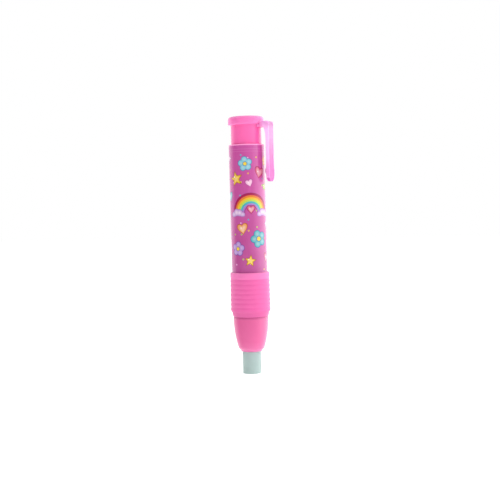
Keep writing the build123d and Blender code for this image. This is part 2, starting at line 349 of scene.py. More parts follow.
def moulded(name, look):
    # Injection moulded plastic or rubber: a faint flow mottle, an uneven shine and, if matt, a grain.
    # A look's roughness stays on one side of 0.274, where the denoiser would draw a thin line.
    material, tree = newMaterial(name)
    tone = heightTone(tree, look["tones"])
    if "paintedLightTones" in look:  # painted light: paler sides and inner face, and the flange's pink painted on the root as reflected light
        parts = addNode(tree, "SeparateXYZ", [addNode(tree, "TexCoord").outputs["Object"]])
        aside = addNode(tree, "Math", [parts.outputs["Y"]], operation="ABSOLUTE")
        edge = addNode(tree, "MapRange", [aside, *[side * mm for side in look["paintedSidesAt"]]])
        # Painted light on the inner face, and the place of the flange's painted reflection at the root
        inside, root = [
            addNode(tree, "MapRange", [parts.outputs["X"], *[place * mm for place in look[key]], 1.0, 0.0])
            for key in ("paintedInsideAt", "paintedReflectionAt")]
        paintedLightShare = addNode(tree, "Math", [edge, inside], operation="MAXIMUM")
        paintedLightColour = heightTone(tree, look["paintedLightTones"])
        tone = addNode(tree, "Mix", {0: paintedLightShare, 6: tone, 7: paintedLightColour}, data_type="RGBA")
        # The flange's pink painted on the clip's root as reflected light
        tone = addNode(tree, "Mix", {0: root, 6: tone, 7: linear(look["paintedRootReflection"])}, data_type="RGBA")
    mottle = objectNoise(tree, look["flowSize"], detail=3.0)
    flow = addNode(tree, "MapRange", [mottle, *noiseCore, 1 - look["flow"], 1.0])
    colour = addNode(tree, "Mix", {0: 1.0, 6: tone, 7: flow}, data_type="RGBA", blend_type="MULTIPLY")
    smear = objectNoise(tree, look["smearSize"])
    rough = addNode(tree, "MapRange", [smear, *noiseReach, *look["rough"]])
    shader = addNode(tree, "BsdfPrincipled", {
        "Base Color": colour, "Roughness": rough, "IOR": look["ior"],
        "Specular IOR Level": look.get("specular", 0.5), "Sheen Weight": look.get("sheen", 0.0),
        "Subsurface Weight": look.get("depthShare", 0.0), "Subsurface Scale": 1.0,
        "Subsurface Radius": [c * mm for c in look.get("depth", (1, 1, 1))],
    })
    if "grainSize" in look:
        grain = objectNoise(tree, look["grainSize"], look.get("stretch", (1, 1, 1)))
        skin = addNode(tree, "Bump", {"Height": grain, "Strength": look["grainStrength"],
                                      "Distance": look["grainDepth"] * mm})
        tree.links.new(skin.outputs["Normal"], shader.inputs["Normal"])
    addNode(tree, "OutputMaterial", {"Surface": shader})
    return material


eraserLook = {  # soft vinyl, extruded and cut: matt, a little powdery, faint lines along it
    # Tones: a little greyer and pinker where it enters the nose, painted shade and painted pink light from
    # the nose
    "tones": ((0, "B1C6C2"), (7, "ADC2BF"), (9, "AEBDBC"), (75, "AEC3C0")),
    "flow": 0.04, "flowSize": 2.5, "smearSize": 1.2, "rough": (0.6, 0.75), "ior": 1.45, "sheen": 0.12,
    "grainSize": 0.22, "grainDepth": 0.02, "grainStrength": 0.25, "stretch": (1, 1, 0.12),
    "depthShare": 0.25, "depth": (1.0, 1.2, 1.1),
}
noseLook = {  # ABS, injection moulded in a polished tool: glossy and even, with painted light and shade in its tones
    # Tones: paler at the lip and brow as painted light from below, darker just under the grip as painted
    # shade
    "tones": ((8.9, "E678B0"), (10.4, "E369A2"), (13, "E05F9A"), (21.9, "DF609A"), (22.7, "C44F88"),
              (23, "BC4A82")),
    "flow": 0.02, "flowSize": 6.0, "smearSize": 5.0, "rough": (0.23, 0.27), "ior": 1.53,
}
gripLook = {  # thermoplastic rubber from a sand-blasted tool: satin, with a grain drawn coarser to show
    # Tones: darker on the tail as painted shade where it runs into the nose, paler on the collar as painted
    # light
    "tones": ((23, "DC5B9E"), (25, "DE5C9F"), (26, "E961A7"), (37.8, "EA62A8"), (38.3, "F073B5"),
              (40.7, "F178B9")),
    "flow": 0.03, "flowSize": 3.0, "smearSize": 1.5, "rough": (0.46, 0.56), "ior": 1.47, "sheen": 0.1,
    "grainSize": 0.16, "grainDepth": 0.006, "grainStrength": 0.25,
}
barrelLook = {  # ABS, injection moulded in a polished tool: glossy, and painted paler towards the top as painted light on the rim
    "tones": ((40, "FA86C6"), (92, "FC96D0")),
    "flow": 0.02, "flowSize": 6.0, "smearSize": 5.0, "rough": (0.23, 0.27), "ior": 1.53,
}
buttonLook = {  # polypropylene, a little clear, with its flange and top painted paler as painted light
    # Tones: painted light, paler on the flange and palest at its top edge
    "tones": ((78, "FB6AB0"), (98.9, "FB6BB1"), (99.5, "F97ABF"), (101.5, "F778BD"), (102.6, "F284C2")),
    "flow": 0.03, "flowSize": 4.0, "smearSize": 3.0, "rough": (0.22, 0.27), "ior": 1.49,
    "depthShare": 0.12, "depth": (1.6, 0.6, 1.0),
}
clipLook = {  # the same plastic, milky, with painted light and shade in its colours
    # Tones: paler towards the top as painted light through the clip, deeper at the foot as painted shade
    # beside the barrel, darker on the arm as painted shade
    "tones": ((76.6, "CC62B1"), (82, "CC64B2"), (87, "CE74B4"), (91, "CC84BC"), (94, "CA92C4"),
              (97.5, "CA90C2"), (99, "C77CB4"), (100.4, "C580B5")),
    # Painted light on the side faces and the inner face, palest near the top and at the foot's end
    "paintedLightTones": ((76.6, "F6B4E6"), (79, "F79EDD"), (83, "F8A4E2"), (85.5, "FBC2F6"), (96.8, "FBC8F9"),
                  (98.6, "EFAEE1"), (100.4, "E6A2D8")),
    "paintedSidesAt": (2.2, 2.45),  # to either side of the clip's middle
    # The inner face takes painted light, and the root takes the flange's pink as a painted reflection
    "paintedInsideAt": (9.5, 9.9), "paintedRootReflection": "F684C6", "paintedReflectionAt": (7.0, 8.5),  # from the pen's axis
    "flow": 0.03, "flowSize": 4.0, "smearSize": 3.0, "rough": (0.28, 0.34), "ior": 1.49, "specular": 0.15,
    "depthShare": 0.4, "depth": (2.0, 1.4, 1.9),
}
acetalLook = {  # natural acetal, moulded: milky, with a slippery half-matt skin
    "tones": ((0, "D6D4CB"), (100, "D8D6CE")),
    "flow": 0.04, "flowSize": 3.0, "smearSize": 1.0, "rough": (0.34, 0.42), "ior": 1.48,
    "grainSize": 0.5, "grainDepth": 0.01, "grainStrength": 0.3,
    "depthShare": 0.2, "depth": (0.8, 0.8, 0.7),
}
tubeLook = {  # natural polypropylene, extruded: cloudy and half-matt
    "tones": ((0, "D9DADB"), (100, "DCDDDD")),
    "flow": 0.04, "flowSize": 3.0, "smearSize": 1.0, "rough": (0.3, 0.4), "ior": 1.49,
    "grainSize": 0.6, "grainDepth": 0.01, "grainStrength": 0.3,
    "depthShare": 0.3, "depth": (1.2, 1.2, 1.2),
}


def steel(name, look):
    # Bare steel: the tool marks or drawing lines make its shine uneven
    material, tree = newMaterial(name)
    marks = objectNoise(tree, look["markSize"], look["stretch"], detail=3.0)
    dark, light = linear(look["dark"]), linear(look["light"])
    tone = addNode(tree, "Mix", {0: marks, 6: dark, 7: light}, data_type="RGBA")
    rough = addNode(tree, "MapRange", [marks, *noiseCore, *look["rough"]])
    relief = addNode(tree, "Bump", {"Height": marks, "Strength": look["markStrength"],
                                    "Distance": look["markDepth"] * mm})
    shader = addNode(tree, "BsdfPrincipled", {
        "Base Color": tone, "Metallic": 1.0, "Roughness": rough, "Normal": relief})
    addNode(tree, "OutputMaterial", {"Surface": shader})
    return material


ringLook = {  # turned and tumbled: soft marks that run round it
    "dark": "BEBEC2", "light": "D2D2D4", "rough": (0.28, 0.42),
    "stretch": (1, 1, 4), "markSize": 0.4, "markDepth": 0.01, "markStrength": 0.3,
}
wireLook = {  # drawn spring wire: brighter, with finer marks
    "dark": "B8B8BC", "light": "CECED2", "rough": (0.22, 0.34),
    "stretch": (1, 1, 1), "markSize": 0.3, "markDepth": 0.01, "markStrength": 0.3,
}

vinylEraser = moulded("vinylEraser", eraserLook)
glossyAbsNose = moulded("glossyAbsNose", noseLook)
satinRubberGrip = moulded("satinRubberGrip", gripLook)
glossyAbsBarrel = moulded("glossyAbsBarrel", barrelLook)
clearishPolypropyleneAndPaintedLight = moulded("clearishPolypropyleneAndPaintedLight", buttonLook)
clipPolypropyleneWithPaintedLight = moulded("clipPolypropyleneWithPaintedLight", clipLook)
naturalAcetal = moulded("naturalAcetal", acetalLook)
naturalPolypropylene = moulded("naturalPolypropylene", tubeLook)
turnedSteel = steel("turnedSteel", ringLook)
drawnSpringWire = steel("drawnSpringWire", wireLook)
print("materials mixed")


# Printed film: one design, repeated round the barrel. Places are mm to the right of the design's
# middle and mm above the film's foot.

filmPrint = {
    "repeats": 2,
    "grounds": ((0, "B2488C"), (6, "B64A8F"), (30, "BF4F98"), (50.3, "C4509B")),
    "haze": "E086C6", "hazeSize": 9.0, "hazeFrom": (0.45, 0.75), "hazeShare": 0.16,
    "line": "D884C2", "lineWidth": 0.16, "lineDrops": (1.5, 2.4), "lineShare": 0.35,
    "soft": 0.07,  # blur at the edge of each ink
    "outlineWidth": 0.2,
    "confettiCell": 3.2, "confettiScatter": 0.8, "confettiRadius": 0.32, "confettiShare": 0.35,
    "confettiTop": 46.5, "confetti": ("E8A8D8", "E2B83C", "58A8C4", "A8C850"),
    "bow": {"place": (1.2, 24.0), "outer": 7.4, "inner": 2.7, "outline": "7E1C58",
            "bands": ("A8184C", "E07A30", "E8B830", "B4D250", "46ACB4", "A478C4")},
    "clouds": ((-4.4, 23.3, 1.6), (6.8, 23.3, 1.6)),  # place and size
    "puffs": ((-1.2, -0.1, 0.7), (-0.35, 0.4, 0.85), (0.5, 0.3, 0.8), (1.3, -0.15, 0.65)),  # in cloud sizes
    "cloudBase": 0.6, "cloudRounding": 0.4, "cloudLitFrom": 0.35, "cloudLitSoft": 0.3,
    "cloud": "E6CCE2", "cloudShade": "B890CC", "cloudOutline": "A85CA0",
    "lit": "FFF6EC", "litFrom": 0.32, "litSoft": 0.3, "litShare": 0.4,  # paler middle, in motif sizes
    "glint": "FFF6FA", "glintShift": 0.3, "glintRadius": 0.11, "glintShare": 0.75,
    "flowerMiddle": "ECC840", "middleRadius": 0.25, "middleRim": 0.32,
    "motifs": (  # shape, place, size, turn in degrees, colour, outline
        ("flower", -0.8, 43.0, 2.8, 8, "78BCD0", "2E6AA0"),
        ("heart", 5.2, 39.2, 2.2, -14, "C8246A", "7C0E40"),
        ("star", -4.8, 37.2, 2.7, 12, "E6B82C", "9A5E18"),
        ("heart", 0.8, 35.2, 1.4, 16, "E4A0CC", "963A80"),
        ("star", 8.4, 34.0, 1.5, -10, "A8CE54", "5A8420"),
        ("heart", 1.2, 24.8, 1.6, 0, "C8246A", "7C0E40"),
        ("flower", 4.2, 13.4, 3.4, 20, "48A4B0", "205A92"),
        ("flower", -4.7, 9.6, 2.8, -6, "AE86CC", "66469A"),
        ("heart", -2.4, 17.2, 2.1, 10, "E08C34", "9A4614"),
        ("star", 0.4, 4.8, 2.1, -8, "E8C038", "9A5E18"),
        ("heart", 8.4, 5.6, 1.7, -18, "C83A7C", "7C0E40"),
        ("star", 9.4, 19.2, 1.5, 10, "E0A8D4", "8A4480"),
        ("flower", 9.1, 44.2, 1.8, 0, "E09C3C", "9A5E18"),
        ("heart", -8.9, 30.0, 1.8, 12, "54AEBA", "205A92"),
        ("star", -8.9, 45.4, 1.4, -12, "E4A8D2", "8A4480"),
    ),
    "rough": (0.16, 0.24), "smearSize": 1.4, "smearStretch": (1, 1, 0.3),
    "waveSize": 2.6, "waveDepth": 0.015, "waveStrength": 0.25,
    "ior": 1.55, "specular": 0.62,
}


def paint(tree, ground, colour, distance, grow, soft, share=1.0):
    # Lays a colour over the ground where a shape's distance is under grow
    amount = addNode(tree, "MapRange", [distance, grow - soft, grow + soft, share, 0.0])
    return addNode(tree, "Mix", {0: amount, 6: ground, 7: colour}, data_type="RGBA")


def heartDistance(tree, place, tall=1.25, lift=0.25):
    # Distance to a heart of radius 1 about the origin, below zero inside it
    parts = addNode(tree, "SeparateXYZ", [place])
    wide = addNode(tree, "Math", [parts.outputs["X"]], operation="ABSOLUTE")
    lobes = addNode(tree, "Math", [wide], operation="SQRT")
    lifted = addNode(tree, "Math", [parts.outputs["Y"], tall, lift], operation="MULTIPLY_ADD")
    rise = addNode(tree, "Math", [lifted, lobes], operation="SUBTRACT")
    reach = addNode(tree, "VectorMath", [addNode(tree, "CombineXYZ", [parts.outputs["X"], rise])],
                    operation="LENGTH")
    return addNode(tree, "Math", [reach, 1.0], operation="SUBTRACT")


def starDistance(tree, place, notch=0.47):
    # Distance to a five-pointed star of radius 1, whose inner corners lie at the notch
    fifth = math.pi / 5
    lean = math.atan2(1 - notch * math.cos(fifth), notch * math.sin(fifth))
    parts = addNode(tree, "SeparateXYZ", [place])
    reach = addNode(tree, "VectorMath", [place], operation="LENGTH")
    angle = addNode(tree, "Math", [parts.outputs["X"], parts.outputs["Y"]], operation="ARCTAN2")
    folded = addNode(tree, "Math", [angle, fifth], operation="PINGPONG")
    turned = addNode(tree, "Math", [addNode(tree, "Math", [folded, lean], operation="SUBTRACT")],
                     operation="COSINE")
    along = addNode(tree, "Math", [reach, turned], operation="MULTIPLY")
    return addNode(tree, "Math", [along, math.cos(lean)], operation="SUBTRACT")


def flowerDistance(tree, place, petal=0.4):
    # Distance to a ring of five round petals that reach to radius 1
    parts = addNode(tree, "SeparateXYZ", [place])
    reach = addNode(tree, "VectorMath", [place], operation="LENGTH")
    angle = addNode(tree, "Math", [parts.outputs["X"], parts.outputs["Y"]], operation="ARCTAN2")
    folded = addNode(tree, "Math", [angle, math.pi / 5], operation="PINGPONG")
    fold = addNode(tree, "CombineXYZ", [addNode(tree, "Math", [folded], operation="COSINE"),
                                        addNode(tree, "Math", [folded], operation="SINE")])
    spread = addNode(tree, "VectorMath", {0: fold, "Scale": reach}, operation="SCALE")
    away = addNode(tree, "VectorMath", [spread, (1 - petal, 0, 0)], operation="DISTANCE")
    return addNode(tree, "Math", [away, petal], operation="SUBTRACT")


def printBow(tree, ground, flat, look):
    # A rainbow of flat bands that ends in two clouds
    bow, soft = look["bow"], look["soft"]
    centred = addNode(tree, "VectorMath", [flat, (*bow["place"], 0)], operation="SUBTRACT")
    reach = addNode(tree, "VectorMath", [centred], operation="LENGTH")
    middle, half = (bow["outer"] + bow["inner"]) / 2, (bow["outer"] - bow["inner"]) / 2
    offset = addNode(tree, "Math", [addNode(tree, "Math", [reach, middle], operation="SUBTRACT")],
                     operation="ABSOLUTE")
    ring = addNode(tree, "Math", [offset, half], operation="SUBTRACT")
    below = addNode(tree, "Math", [addNode(tree, "SeparateXYZ", [centred]).outputs["Y"], -1.0],
                    operation="MULTIPLY")
    arch = addNode(tree, "Math", [ring, below], operation="MAXIMUM")
    share = addNode(tree, "MapRange", [reach, bow["outer"], bow["inner"]])
    count = len(bow["bands"])
    bands = fillRamp(addNode(tree, "ValToRGB", [share]),
                     [(i / count, linear(colour)) for i, colour in enumerate(bow["bands"])], "CONSTANT")
    ground = paint(tree, ground, linear(bow["outline"]), arch, look["outlineWidth"], soft)
    ground = paint(tree, ground, bands, arch, 0.0, soft)
    for cloudX, cloudZ, size in look["clouds"]:
        puffs = None
        for shiftX, shiftZ, part in look["puffs"]:
            centre = (cloudX + shiftX * size, cloudZ + shiftZ * size, 0)
            away = addNode(tree, "VectorMath", [flat, centre], operation="DISTANCE")
            puff = addNode(tree, "Math", [away, size * part], operation="SUBTRACT")
            puffs = puff if puffs is None else addNode(tree, "Math", [puffs, puff], operation="MINIMUM")
        up = addNode(tree, "SeparateXYZ", [flat]).outputs["Y"]
        base = addNode(tree, "Math", [cloudZ - look["cloudBase"] * size, up], operation="SUBTRACT")
        puffs = addNode(tree, "Math", [puffs, base, look["cloudRounding"] * size], operation="SMOOTH_MAX")
        ground = paint(tree, ground, linear(look["cloudOutline"]), puffs, look["outlineWidth"], soft)
        ground = paint(tree, ground, linear(look["cloudShade"]), puffs, 0.0, soft)
        ground = paint(tree, ground, linear(look["cloud"]), puffs, -look["cloudLitFrom"] * size,
                       look["cloudLitSoft"] * size)
    return ground


def printMotif(tree, ground, flat, look, shape, place, size, twist, colour, outline):
    # One outlined shape with a lighter middle and a small white glint
    distances = {"heart": heartDistance, "star": starDistance, "flower": flowerDistance}
    unit = addNode(tree, "Mapping", {
        "Vector": flat, "Location": (*place, 0), "Rotation": (0, 0, math.radians(twist)),
        "Scale": (size, size, size)}, vector_type="TEXTURE")
    distance = addNode(tree, "Math", [distances[shape](tree, unit), size], operation="MULTIPLY")
    soft = look["soft"]
    ground = paint(tree, ground, linear(outline), distance, look["outlineWidth"], soft)
    ground = paint(tree, ground, linear(colour), distance, 0.0, soft)
    ground = paint(tree, ground, linear(look["lit"]), distance, -look["litFrom"] * size,
                   look["litSoft"] * size, look["litShare"])
    away = addNode(tree, "VectorMath", [flat, (*place, 0)], operation="DISTANCE")
    if shape == "flower":
        ground = paint(tree, ground, linear(outline), away, look["middleRim"] * size, soft)
        return paint(tree, ground, linear(look["flowerMiddle"]), away, look["middleRadius"] * size, soft)
    shift = look["glintShift"] * size
    glint = addNode(tree, "VectorMath", [flat, (place[0] - shift, place[1] + shift, 0)],
                    operation="DISTANCE")
    return paint(tree, ground, linear(look["glint"]), glint, look["glintRadius"] * size, soft,
                 look["glintShare"])


def printedFilm(look):
    # Glossy film, printed and wrapped: saturated inks under a clear, slightly wavy surface
    foot, top = heights("printed_film")[:2]
    radius = heights("barrel")[2]
    material, tree = newMaterial("printedFilm")
    place = addNode(tree, "TexCoord").outputs["Object"]
    parts = addNode(tree, "SeparateXYZ", [place])
    angle = addNode(tree, "Math", [parts.outputs["Y"], parts.outputs["X"]], operation="ARCTAN2")
    facing = fromLens(0)
    middle = math.atan2(facing.y, facing.x) * radius  # the design faces the lens
    unrolled = addNode(tree, "Math", [angle, radius, -middle], operation="MULTIPLY_ADD")
    half = math.pi * radius / look["repeats"]
    across = addNode(tree, "Math", [unrolled, half, -half], operation="WRAP")
    up = addNode(tree, "Math", [parts.outputs["Z"], 1 / mm, -foot], operation="MULTIPLY_ADD")
    flat = addNode(tree, "CombineXYZ", [across, up])
    soft = look["soft"]

    ground = heightTone(tree, [(foot + height, colour) for height, colour in look["grounds"]])
    clouding = objectNoise(tree, look["hazeSize"], detail=1.0)
    cloudy = addNode(tree, "MapRange", [clouding, *look["hazeFrom"], 0.0, look["hazeShare"]])
    ground = addNode(tree, "Mix", {0: cloudy, 6: ground, 7: linear(look["haze"])}, data_type="RGBA")
    for drop in look["lineDrops"]:
        line = addNode(tree, "Math", [addNode(tree, "Math", [up, top - foot - drop], operation="SUBTRACT")],
                       operation="ABSOLUTE")
        ground = paint(tree, ground, linear(look["line"]), line, look["lineWidth"] / 2, soft,
                       look["lineShare"])

    cell = look["confettiCell"]
    cells = addNode(tree, "TexVoronoi", {
        "Vector": flat, "Scale": 1 / cell, "Randomness": look["confettiScatter"]}, voronoi_dimensions="2D")
    picked = addNode(tree, "SeparateColor", [cells.outputs["Color"]])
    chosen = addNode(tree, "Math", [picked.outputs[0], look["confettiShare"]], operation="LESS_THAN")
    spot = addNode(tree, "SeparateXYZ", [cells.outputs["Position"]])
    under = addNode(tree, "Math", [spot.outputs["Y"], look["confettiTop"]], operation="LESS_THAN")
    shown = addNode(tree, "Math", [chosen, under], operation="MULTIPLY")
    away = addNode(tree, "Math", [cells.outputs["Distance"], cell], operation="MULTIPLY")
    rim = look["confettiRadius"]
    dot = addNode(tree, "MapRange", [away, rim - soft, rim + soft, shown, 0.0])
    count = len(look["confetti"])
    hue = fillRamp(addNode(tree, "ValToRGB", [picked.outputs[1]]),
                   [(i / count, linear(colour)) for i, colour in enumerate(look["confetti"])], "CONSTANT")
    ground = addNode(tree, "Mix", {0: dot, 6: ground, 7: hue}, data_type="RGBA")

    ground = printBow(tree, ground, flat, look)
    for shape, motifX, motifZ, size, twist, colour, outline in look["motifs"]:
        ground = printMotif(tree, ground, flat, look, shape, (motifX, motifZ), size, twist, colour, outline)

    waves = objectNoise(tree, look["waveSize"])
    relief = addNode(tree, "Bump", {"Height": waves, "Strength": look["waveStrength"],
                                    "Distance": look["waveDepth"] * mm})
    smear = objectNoise(tree, look["smearSize"], look["smearStretch"], detail=4.0)
    rough = addNode(tree, "MapRange", [smear, *noiseCore, *look["rough"]])
    shader = addNode(tree, "BsdfPrincipled", {
        "Base Color": ground, "Roughness": rough, "Normal": relief, "IOR": look["ior"],
        "Specular IOR Level": look["specular"]})
    addNode(tree, "OutputMaterial", {"Surface": shader})
    return material


filmMaterial = printedFilm(filmPrint)
print("film printed")


# Eraser refill

eraser = {"edgeRound": 0.35}


def makeEraser(e):
    foot, top, r = heights("eraser_stick")
    bm = lathe([(0, foot), (r, foot, e["edgeRound"], 5), (r, top, e["edgeRound"], 5), (0, top)])
    return finishPiece(meshObject("eraserRefill", bm), vinylEraser, "eraser_stick")


makeEraser(eraser)


# Nose, with the core and the spigot that the grip and the barrel hide

nose = {  # heights are above the mouth
    "lip": 0.43, "lipRound": 0.12, "lipHeight": 0.4, "browHeight": 1.95, "browDrop": 1.63,
    "shoulder": 0.5, "mouthGap": 0.15, "mouthLength": 2.5,
    "cavityRadius": 5.2, "cavityHeight": 5.55, "stopHeight": 12.35, "ringBore": 5.5, "ringBoreHeight": 18.75,
    "bushBore": 5.65, "coreWall": 1.05, "spigotWall": 0.7, "edge": 0.15,
}


def spinArc(bm, vert, centre, angle, steps):
    # Draws an arc of edges in the XZ plane from a vertex, down and inwards, and gives its end
    spun = bmesh.ops.spin(bm, geom=[vert], cent=(centre.x * mm, 0, centre.y * mm), axis=(0, 1, 0),
                          angle=angle, steps=steps)
    return next(v for v in spun["geom_last"] if isinstance(v, bmesh.types.BMVert))


def makeNose(n):
    mouth, top, r = heights("nose_cone")
    gripFoot, gripTop = heights("rubber_grip")[:2]
    mouthRadius = heights("eraser_stick")[2] + n["mouthGap"]
    lipTop = Vector((mouthRadius + n["lip"], mouth + n["lipHeight"]))
    coreRadius = n["bushBore"] + n["coreWall"]
    spigotRadius = n["bushBore"] + n["spigotWall"]
    curveTop = Vector((r, gripFoot - n["shoulder"]))
    brow = Vector((r - n["browDrop"], mouth + n["browHeight"]))
    # The long curve leaves the straight shoulder upright, and the brow goes on from it to the lip
    rise = curveTop.y - brow.y
    longRadius = (rise ** 2 + n["browDrop"] ** 2) / (2 * n["browDrop"])
    longTurn = math.asin(rise / longRadius)
    inwards = Vector((-math.cos(longTurn), math.sin(longTurn)))
    onwards = Vector((-math.sin(longTurn), -math.cos(longTurn)))
    step = lipTop - brow
    browRadius = step.length_squared / (2 * step.dot(inwards))
    browTurn = math.atan2(step.dot(onwards), browRadius - step.dot(inwards))
    bm = bmesh.new()
    start = bm.verts.new((curveTop.x * mm, 0, curveTop.y * mm))
    curveEnd = spinArc(bm, start, curveTop - Vector((longRadius, 0)), longTurn, 24)
    browEnd = spinArc(bm, curveEnd, brow + inwards * browRadius, browTurn, 12)
    section(bm, [
        (lipTop.x, mouth, n["lipRound"], 3), (mouthRadius, mouth, n["lipRound"], 3),
        (mouthRadius, mouth + n["mouthLength"]),
        (n["cavityRadius"], mouth + n["cavityHeight"]), (n["cavityRadius"], mouth + n["stopHeight"]),
        (n["ringBore"], mouth + n["stopHeight"]), (n["ringBore"], mouth + n["ringBoreHeight"]),
        (n["bushBore"], mouth + n["ringBoreHeight"]), (n["bushBore"], top),
        (spigotRadius, top, n["edge"], 3), (spigotRadius, gripTop), (coreRadius, gripTop),
        (coreRadius, gripFoot), (r, gripFoot, n["edge"], 3),
    ], browEnd, start)
    return finishPiece(meshObject("noseShell", spinRound(bm)), glossyAbsNose, "nose_cone")


makeNose(nose)


# Grip: smooth collar, soft ribs and a tail that runs into the nose

grip = {
    "ribs": 7, "ribDepth": 0.20, "ribRound": 0.32, "valleyRound": 0.28, "flank": 0.6,
    "collar": 2.6, "collarDrop": 0.04, "collarEdge": 0.4,
    "tail": 2.0, "tailFoot": 0.38, "tailTop": 0.8, "tailFootRound": 0.12, "tailTopRound": 0.2,
    "wall": 1.18, "draft": 0.10, "coreRadius": 6.7,
}


def makeGrip(g):
    foot, top = heights("rubber_grip")[:2]
    core = g["coreRadius"]
    tailTop, collarFoot = foot + g["tail"], top - g["collar"]
    pitch = (collarFoot - tailTop) / g["ribs"]
    crestTop = core + g["wall"]
    corners = [
        (core, foot), (core + g["tailFoot"], foot, g["tailFootRound"], 3),
        (core + g["tailTop"], tailTop, g["tailTopRound"], 3),
    ]
    for i in range(g["ribs"]):
        crest = crestTop + g["draft"] * (1 - i / g["ribs"])
        z = tailTop + pitch * i
        corners += [
            (crest - g["ribDepth"], z, g["valleyRound"], 3),
            (crest, z + g["flank"], g["ribRound"], 4),
            (crest, z + pitch - g["flank"], g["ribRound"], 4),
        ]
    corners += [
        (crestTop - g["ribDepth"], collarFoot, g["valleyRound"], 3),
        (crestTop - g["collarDrop"], collarFoot + g["flank"], g["ribRound"], 4),
        (crestTop - g["collarDrop"], top, g["collarEdge"], 5),
        (core, top),
    ]
    return finishPiece(meshObject("gripSleeve", lathe(corners)), satinRubberGrip, "rubber_grip")


makeGrip(grip)


# Barrel: only its rim shows above the film

barrel = {
    "rimHeight": 0.5, "rimRound": 0.15, "counterbore": 7.3, "spigotSeat": 6.4, "bore": 6.25,
    "filmStep": 0.10,
}


def makeBarrel(b):
    foot, top, rim = heights("barrel")
    wallRadius = rim - b["filmStep"]
    bm = lathe([
        (b["spigotSeat"], foot), (wallRadius, foot), (wallRadius, top - b["rimHeight"]),
        (rim, top - b["rimHeight"]), (rim, top, b["rimRound"], 4), (b["bore"], top, b["rimRound"], 4),
        (b["bore"], foot + b["counterbore"]), (b["spigotSeat"], foot + b["counterbore"]),
    ])
    return finishPiece(meshObject("barrelTube", bm), glossyAbsBarrel, "barrel")


makeBarrel(barrel)


# Film: a wrap whose ends overlap opposite the clip

film = {"thickness": 0.10, "lap": 2.4}


def makeFilm(f):
    foot, top = heights("printed_film")[:2]
    outer = heights("barrel")[2]
    inner = outer - f["thickness"]
    bm = lathe([(inner, foot), (outer, foot), (outer, top), (inner, top)])
    lapFaces = []
    for face in bm.faces:
        centre = face.calc_center_median()
        fromBack = abs(math.atan2(centre.y, -centre.x))
        outside = Vector((centre.x, centre.y)).length > (inner + outer) / 2 * mm
        upright = abs(face.normal.z) < 0.5
        if outside and upright and fromBack < f["lap"] / outer / 2:
            lapFaces.append(face)
    raised = bmesh.ops.extrude_face_region(bm, geom=lapFaces)
    moved = [v for v in raised["geom"] if isinstance(v, bmesh.types.BMVert)]
    grow = (outer + f["thickness"]) / outer
    bmesh.ops.scale(bm, vec=(grow, grow, 1), verts=moved)
    bmesh.ops.recalc_face_normals(bm, faces=bm.faces)
    return finishPiece(meshObject("filmWrap", bm), filmMaterial, "printed_film", sharpAngle=30)


makeFilm(film)


# Button: thimble with a rounded flange

button = {
    "flange": 3.3, "lip": 1.08, "topRound": 1.1, "footRound": 0.45, "rootRound": 0.15, "bore": 5.2,
    "seatDrop": 1.3, "topWall": 1.8, "hollow": 3.2, "skirtRound": 0.3, "gate": 0.5, "gateDepth": 0.08,
}


def makeButton(b):
    foot, top, r = heights("push_button")
    skirt = r - b["lip"]
    flangeFoot = top - b["flange"]
    seat = flangeFoot - b["seatDrop"]
    bm = lathe([
        (0, top - b["gateDepth"]), (b["gate"], top - b["gateDepth"]), (b["gate"] + b["gateDepth"], top),
        (r, top, b["topRound"], 8), (r, flangeFoot, b["footRound"], 5),
        (skirt, flangeFoot, b["rootRound"], 3), (skirt, foot, b["skirtRound"], 3),
        (b["bore"], foot), (b["bore"], seat),
        (b["hollow"], seat), (b["hollow"], top - b["topWall"]), (0, top - b["topWall"]),
    ])
    return finishPiece(meshObject("buttonThimble", bm), clearishPolypropyleneAndPaintedLight, "push_button")


makeButton(button)


# Clip: an arm that grips the flange and a blade beside the barrel

clip = {
    "width": 5.0, "thickness": 1.4, "reach": 2.25, "lean": 0.1,
    "arm": 2.1, "armStart": 0.01, "armRound": 1.0, "root": 0.65, "rootHeight": 3.8, "rootRound": 1.2,
    "shoulder": 0.7, "endRound": 2.2,
    "footStart": 1.6, "footHeight": 4.4, "footBulge": 0.22, "footBlend": 0.8, "bulgeRound": 1.2,
    "bumpStart": 2.2, "bumpHeight": 4.0, "bumpWidth": 2.0, "bumpGap": 1.1, "bumpRound": 0.25,
    "edgeRound": 0.22, "edgeAngle": 35, "seat": 0.05,
}


def clipSide(c, foot, top, inner):
    # The side view, drawn as a closed outline and pulled out to the clip's width
    outer, armFoot = inner + c["thickness"], top - c["arm"]
    leant = outer - c["lean"]
    bm = bmesh.new()
    section(bm, [
        (inner - c["root"], armFoot, c["armRound"], 8),
        (inner, armFoot - c["rootHeight"], c["rootRound"], 8),
        (inner - c["lean"], foot), (outer - 2 * c["lean"], foot),
        (leant, foot + c["footStart"], c["footBlend"], 4),
        (leant + c["footBulge"], foot + c["footStart"] + c["footHeight"] / 2, c["bulgeRound"], 8),
        (leant, foot + c["footStart"] + c["footHeight"], c["footBlend"], 4),
        (outer, top, c["shoulder"], 8), (c["armStart"], top), (c["armStart"], armFoot),
    ])
    face = bmesh.ops.contextual_create(bm, geom=bm.edges[:])["faces"]
    bmesh.ops.translate(bm, vec=(0, -c["width"] / 2 * mm, 0), verts=bm.verts)
    raised = bmesh.ops.extrude_face_region(bm, geom=face, use_keep_orig=True)
    moved = [v for v in raised["geom"] if isinstance(v, bmesh.types.BMVert)]
    bmesh.ops.translate(bm, vec=(0, c["width"] * mm, 0), verts=moved)
    bmesh.ops.recalc_face_normals(bm, faces=bm.faces)
    return meshObject("clipBlade", bm)


